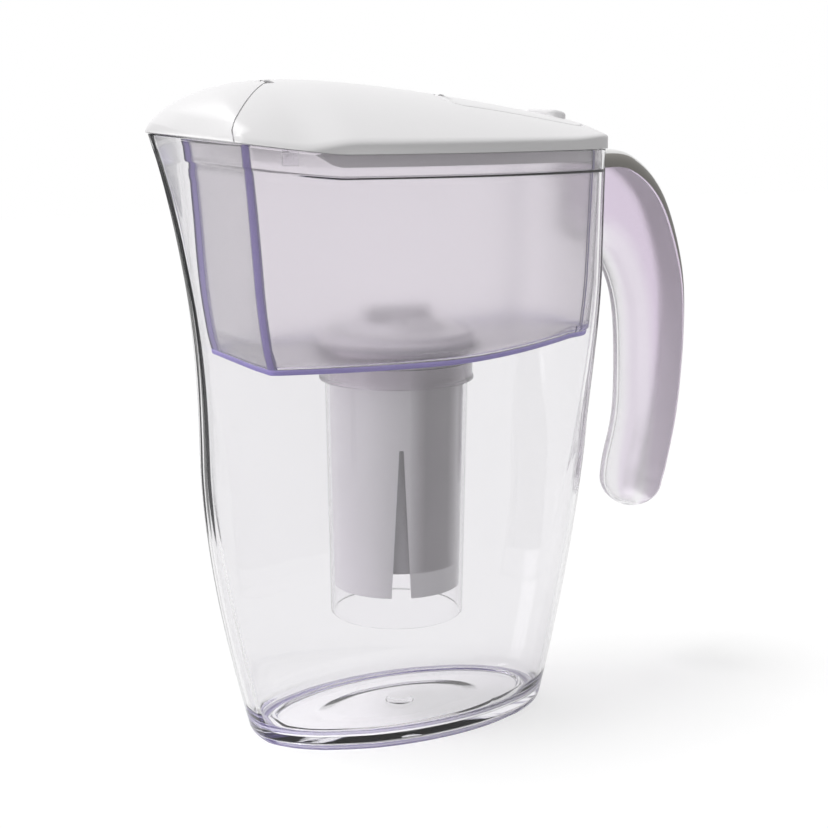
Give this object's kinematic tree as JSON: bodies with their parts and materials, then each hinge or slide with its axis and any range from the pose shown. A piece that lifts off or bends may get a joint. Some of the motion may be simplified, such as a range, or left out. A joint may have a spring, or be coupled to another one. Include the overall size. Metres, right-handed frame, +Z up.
{
  "type": "water filter pitcher with flip lid",
  "caption": "Clear jug with a pouring beak, a hooked handle, a drop-in tinted reservoir, a hanging filter cartridge in a clear sleeve, and a domed lid with a fill flap and a spout cover.",
  "frame": {"origin": "centre of the oval foot, on the plane the pitcher stands on", "axes": "+Z up, spout towards -X, handle towards +X, +Y completes a right-handed frame"},
  "size_m": [0.2544, 0.1006, 0.2744],
  "materials": {
    "jug_clear": "clear, polished",
    "handle_clear": "translucent, faint violet tint, polished",
    "handle_white": "opaque white, satin",
    "reservoir_violet": "translucent, pale violet, violet at its edges",
    "catch_clear": "clear, polished",
    "sleeve_clear": "clear, polished",
    "seal": "pale silicone, matte",
    "cartridge_white": "milky white, satin",
    "cup_white": "milky white, matte",
    "cap_grey": "pale grey, satin",
    "screen": "fine woven mesh",
    "felt": "felt",
    "carbon": "granular, matte black",
    "resin": "small amber beads",
    "lid_white": "opaque white, satin",
    "pin_steel": "brushed"
  },
  "bodies": {
    "jug": {"jug": "jug_clear", "handle_channel": "handle_clear", "handle_cover": "handle_white"},
    "reservoir": {"reservoir": "reservoir_violet", "catch_left": "catch_clear", "catch_right": "catch_clear", "sleeve": "sleeve_clear"},
    "cartridge": {"gasket": "seal", "cartridge_shell": "cartridge_white", "cartridge_cup": "cup_white", "cartridge_cap": "cap_grey", "inlet_screen": "screen", "outlet_screen": "screen", "felt_pad": "felt", "carbon_bed": "carbon", "resin_bed": "resin"},
    "lid": {"lid": "lid_white", "flap_pin": "pin_steel", "spout_pin": "pin_steel"},
    "fill_flap": {"fill_flap": "lid_white"},
    "spout_cover": {"spout_cover": "lid_white"}
  },
  "joints": [
    {"name": "reservoir_lift", "type": "slide", "parent": "jug", "child": "reservoir", "axis": [0, 0, 1], "range_m": [0, 0.2]},
    {"name": "cartridge_lift", "type": "slide", "parent": "reservoir", "child": "cartridge", "axis": [0, 0, 1], "range_m": [0, 0.06]},
    {"name": "lid_lift", "type": "slide", "parent": "reservoir", "child": "lid", "axis": [0, 0, 1], "range_m": [0, 0.08]},
    {"name": "fill_flap_hinge", "type": "hinge", "parent": "lid", "child": "fill_flap", "pos_m": [0.0143, 0, 0.26677], "axis": [0, -1, 0], "range_deg": [0, 95]},
    {"name": "spout_cover_hinge", "type": "hinge", "parent": "lid", "child": "spout_cover", "pos_m": [-0.0613, 0, 0.27189], "axis": [0, 1, 0], "range_deg": [0, 60]}
  ]
}
